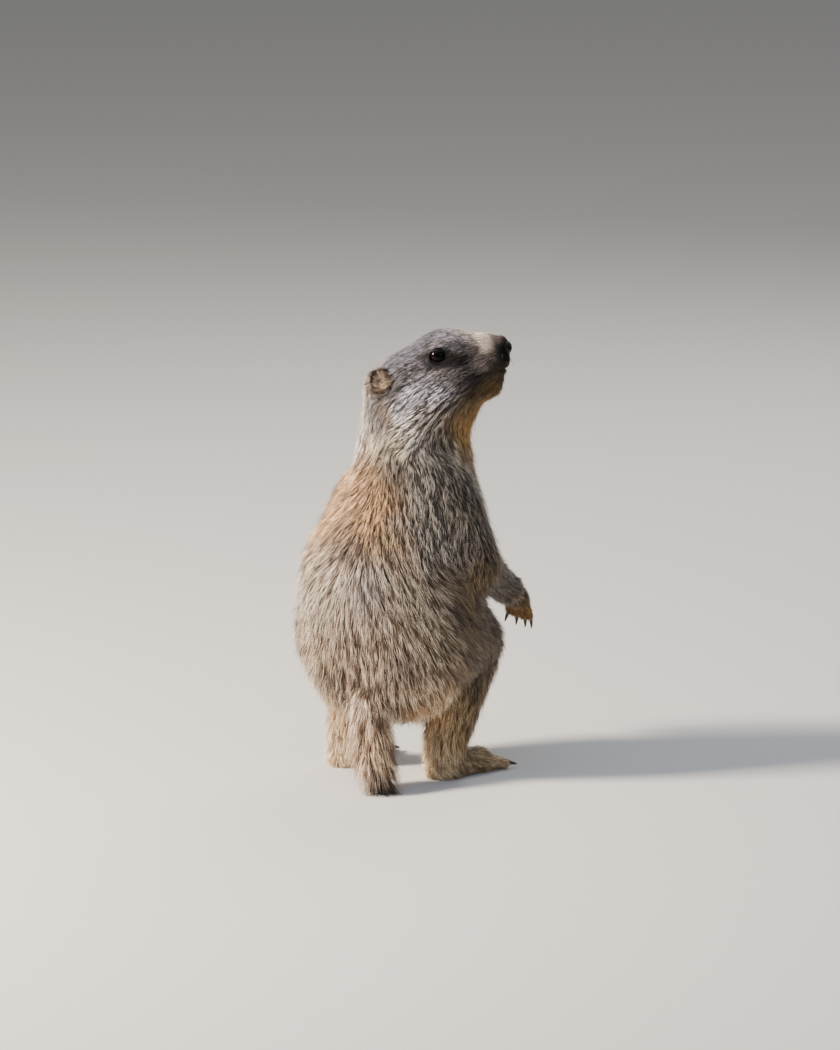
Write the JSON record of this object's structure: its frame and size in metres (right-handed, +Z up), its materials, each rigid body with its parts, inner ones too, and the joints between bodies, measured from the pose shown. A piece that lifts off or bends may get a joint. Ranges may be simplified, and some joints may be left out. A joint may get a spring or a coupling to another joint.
{
  "type": "alpine marmot model",
  "caption": "Life-size still model of a young alpine marmot standing upright on its hind legs, head turned aside, tail down to the floor.",
  "frame": {"origin": "on the floor, under the middle of the whole animal's box", "axes": "+X the way the hips face, +Y to the animal's left, +Z up"},
  "size_m": [0.1876, 0.1536, 0.3257],
  "materials": {
    "slate_fur": "short grizzled fur",
    "grizzled_fur": "grizzled fur",
    "brown_fur": "dense brown coat with pale tips",
    "flank_fur": "dense brown coat",
    "leg_fur": "short ochre-brown fur",
    "paw_fur": "short tan fur",
    "tail_fur": "long brown fur, blackish at the tip",
    "ear_fur": "short brown fur",
    "nose_skin": "bare damp skin",
    "eye": "wet, dark brown",
    "claw_horn": "dark horn"
  },
  "bodies": {
    "root": {"head": "slate_fur", "lower_jaw": "slate_fur", "nose": "nose_skin", "eye_left": "eye", "eye_right": "eye", "ear_left": "ear_fur", "ear_right": "ear_fur", "neck": "grizzled_fur", "chest": "brown_fur", "belly_and_rump": "brown_fur", "upper_arm_left": "leg_fur", "forearm_left": "leg_fur", "forepaw_left": "paw_fur", "forepaw_left_claw_1": "claw_horn", "forepaw_left_claw_2": "claw_horn", "forepaw_left_claw_3": "claw_horn", "forepaw_left_claw_4": "claw_horn", "upper_arm_right": "leg_fur", "forearm_right": "leg_fur", "forepaw_right": "paw_fur", "forepaw_right_claw_1": "claw_horn", "forepaw_right_claw_2": "claw_horn", "forepaw_right_claw_3": "claw_horn", "forepaw_right_claw_4": "claw_horn", "thigh_left": "flank_fur", "shank_left": "leg_fur", "hind_foot_left": "paw_fur", "hind_foot_left_claw_1": "claw_horn", "hind_foot_left_claw_2": "claw_horn", "hind_foot_left_claw_3": "claw_horn", "hind_foot_left_claw_4": "claw_horn", "hind_foot_left_claw_5": "claw_horn", "thigh_right": "flank_fur", "shank_right": "leg_fur", "hind_foot_right": "paw_fur", "hind_foot_right_claw_1": "claw_horn", "hind_foot_right_claw_2": "claw_horn", "hind_foot_right_claw_3": "claw_horn", "hind_foot_right_claw_4": "claw_horn", "hind_foot_right_claw_5": "claw_horn", "tail": "tail_fur"}
  },
  "joints": []
}
